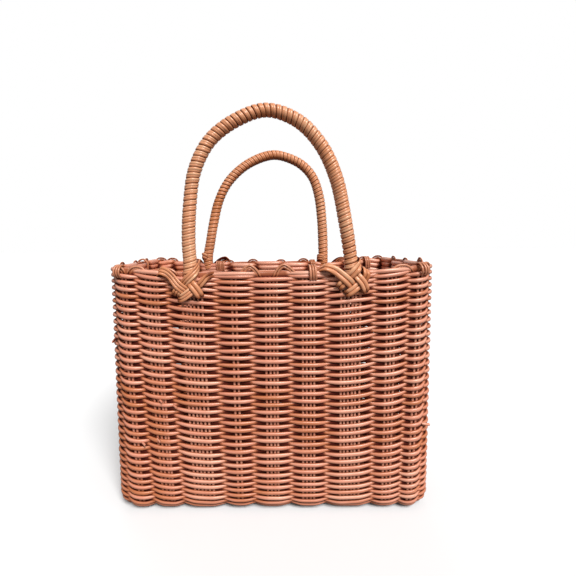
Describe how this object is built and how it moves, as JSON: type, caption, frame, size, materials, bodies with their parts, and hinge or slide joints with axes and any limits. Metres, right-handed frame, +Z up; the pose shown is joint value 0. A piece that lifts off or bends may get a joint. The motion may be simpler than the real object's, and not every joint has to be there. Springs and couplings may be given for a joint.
{
  "type": "straw basket bag",
  "caption": "Rectangular hand-woven cane basket bag, open at the top, with a looped rim and wrapped arch handles knotted to the front and back walls.",
  "frame": {"origin": "middle of the flat underside of the woven base", "axes": "+Z up towards the handles, +X to the right seen from the front, +Y towards the back wall"},
  "size_m": [0.277, 0.1445, 0.3403],
  "materials": {
    "cane_weave": "satin stained cane",
    "cane_border": "satin stained cane",
    "cane_wrap": "satin stained cane",
    "cane_knot": "satin stained cane"
  },
  "bodies": {
    "root": {"woven_wall": "cane_weave", "woven_base": "cane_weave", "rim_border": "cane_border", "front_handle": "cane_wrap", "back_handle": "cane_wrap", "front_left_knot": "cane_knot", "front_right_knot": "cane_knot", "back_left_knot": "cane_knot", "back_right_knot": "cane_knot"}
  },
  "joints": []
}
